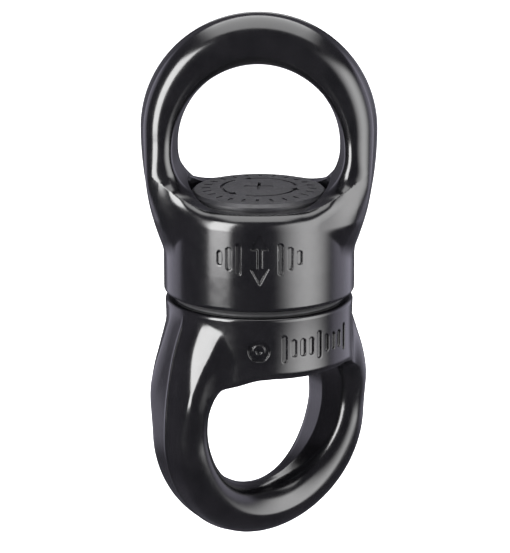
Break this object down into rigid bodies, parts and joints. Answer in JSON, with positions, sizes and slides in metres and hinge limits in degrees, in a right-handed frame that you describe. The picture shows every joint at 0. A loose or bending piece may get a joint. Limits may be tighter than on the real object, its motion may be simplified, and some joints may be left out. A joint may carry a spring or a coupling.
{
  "type": "ball-bearing rigging swivel",
  "caption": "Compact load swivel: two forged eyes joined by a headed axle on a sealed ball thrust bearing, so either eye turns endlessly under load.",
  "frame": {"origin": "where the anchor connector bears, in the crown of the upper eye's opening, on the swivel axis", "axes": "+Z along the swivel axis and the line of pull, towards the anchor; +Y through the upper eye's opening; +X across the upper eye"},
  "size_m": [0.0382, 0.0314, 0.0873],
  "materials": {
    "forged_alloy": "black anodised, satin gloss",
    "cap_alloy": "black anodised, matte",
    "axle_steel": "zinc plated",
    "race_steel": "ground",
    "ball_steel": "polished",
    "cage_brass": "pressed",
    "bush_bronze": "sintered bronze",
    "slide_plastic": "filled PTFE, dark",
    "seal_rubber": "nitrile rubber"
  },
  "bodies": {
    "upper": {"upper_eye": "forged_alloy", "lower_race": "race_steel", "guide_bush": "bush_bronze", "cap": "cap_alloy", "cap_o_ring": "seal_rubber"},
    "lower": {"lower_eye": "forged_alloy", "axle": "axle_steel", "axle_key_pin": "axle_steel", "axle_nut": "axle_steel", "tab_washer": "axle_steel", "lock_pin": "axle_steel", "upper_race": "race_steel", "slide_washer": "slide_plastic", "gap_seal": "seal_rubber"},
    "cage": {"ball_cage": "cage_brass"},
    "ball_01": {"ball_01": "ball_steel"},
    "ball_02": {"ball_02": "ball_steel"},
    "ball_03": {"ball_03": "ball_steel"},
    "ball_04": {"ball_04": "ball_steel"},
    "ball_05": {"ball_05": "ball_steel"},
    "ball_06": {"ball_06": "ball_steel"},
    "ball_07": {"ball_07": "ball_steel"},
    "ball_08": {"ball_08": "ball_steel"},
    "ball_09": {"ball_09": "ball_steel"},
    "ball_10": {"ball_10": "ball_steel"},
    "ball_11": {"ball_11": "ball_steel"},
    "ball_12": {"ball_12": "ball_steel"}
  },
  "joints": [
    {"name": "swivel", "type": "hinge", "parent": "upper", "child": "lower", "pos_m": [0, 0, -0.03735], "axis": [0, 0, 1], "continuous": true},
    {"name": "cage_orbit", "type": "hinge", "parent": "upper", "child": "cage", "pos_m": [0, 0, -0.02985], "axis": [0, 0, 1], "continuous": true},
    {"name": "ball_01_roll", "type": "hinge", "parent": "cage", "child": "ball_01", "pos_m": [0.0079, 0, -0.02985], "axis": [1, 0, 0], "continuous": true},
    {"name": "ball_02_roll", "type": "hinge", "parent": "cage", "child": "ball_02", "pos_m": [0.00684, 0.00395, -0.02985], "axis": [0.866, 0.5, 0], "continuous": true},
    {"name": "ball_03_roll", "type": "hinge", "parent": "cage", "child": "ball_03", "pos_m": [0.00395, 0.00684, -0.02985], "axis": [0.5, 0.866, 0], "continuous": true},
    {"name": "ball_04_roll", "type": "hinge", "parent": "cage", "child": "ball_04", "pos_m": [0, 0.0079, -0.02985], "axis": [0, 1, 0], "continuous": true},
    {"name": "ball_05_roll", "type": "hinge", "parent": "cage", "child": "ball_05", "pos_m": [-0.00395, 0.00684, -0.02985], "axis": [-0.5, 0.866, 0], "continuous": true},
    {"name": "ball_06_roll", "type": "hinge", "parent": "cage", "child": "ball_06", "pos_m": [-0.00684, 0.00395, -0.02985], "axis": [-0.866, 0.5, 0], "continuous": true},
    {"name": "ball_07_roll", "type": "hinge", "parent": "cage", "child": "ball_07", "pos_m": [-0.0079, 0, -0.02985], "axis": [-1, 0, 0], "continuous": true},
    {"name": "ball_08_roll", "type": "hinge", "parent": "cage", "child": "ball_08", "pos_m": [-0.00684, -0.00395, -0.02985], "axis": [-0.866, -0.5, 0], "continuous": true},
    {"name": "ball_09_roll", "type": "hinge", "parent": "cage", "child": "ball_09", "pos_m": [-0.00395, -0.00684, -0.02985], "axis": [-0.5, -0.866, 0], "continuous": true},
    {"name": "ball_10_roll", "type": "hinge", "parent": "cage", "child": "ball_10", "pos_m": [0, -0.0079, -0.02985], "axis": [0, -1, 0], "continuous": true},
    {"name": "ball_11_roll", "type": "hinge", "parent": "cage", "child": "ball_11", "pos_m": [0.00395, -0.00684, -0.02985], "axis": [0.5, -0.866, 0], "continuous": true},
    {"name": "ball_12_roll", "type": "hinge", "parent": "cage", "child": "ball_12", "pos_m": [0.00684, -0.00395, -0.02985], "axis": [0.866, -0.5, 0], "continuous": true}
  ],
  "couplings": [
    {"joint": "cage_orbit", "follows": "swivel", "ratio": 0.5},
    {"joint": "ball_01_roll", "follows": "swivel", "ratio": -2.2571},
    {"joint": "ball_02_roll", "follows": "swivel", "ratio": -2.2571},
    {"joint": "ball_03_roll", "follows": "swivel", "ratio": -2.2571},
    {"joint": "ball_04_roll", "follows": "swivel", "ratio": -2.2571},
    {"joint": "ball_05_roll", "follows": "swivel", "ratio": -2.2571},
    {"joint": "ball_06_roll", "follows": "swivel", "ratio": -2.2571},
    {"joint": "ball_07_roll", "follows": "swivel", "ratio": -2.2571},
    {"joint": "ball_08_roll", "follows": "swivel", "ratio": -2.2571},
    {"joint": "ball_09_roll", "follows": "swivel", "ratio": -2.2571},
    {"joint": "ball_10_roll", "follows": "swivel", "ratio": -2.2571},
    {"joint": "ball_11_roll", "follows": "swivel", "ratio": -2.2571},
    {"joint": "ball_12_roll", "follows": "swivel", "ratio": -2.2571}
  ]
}
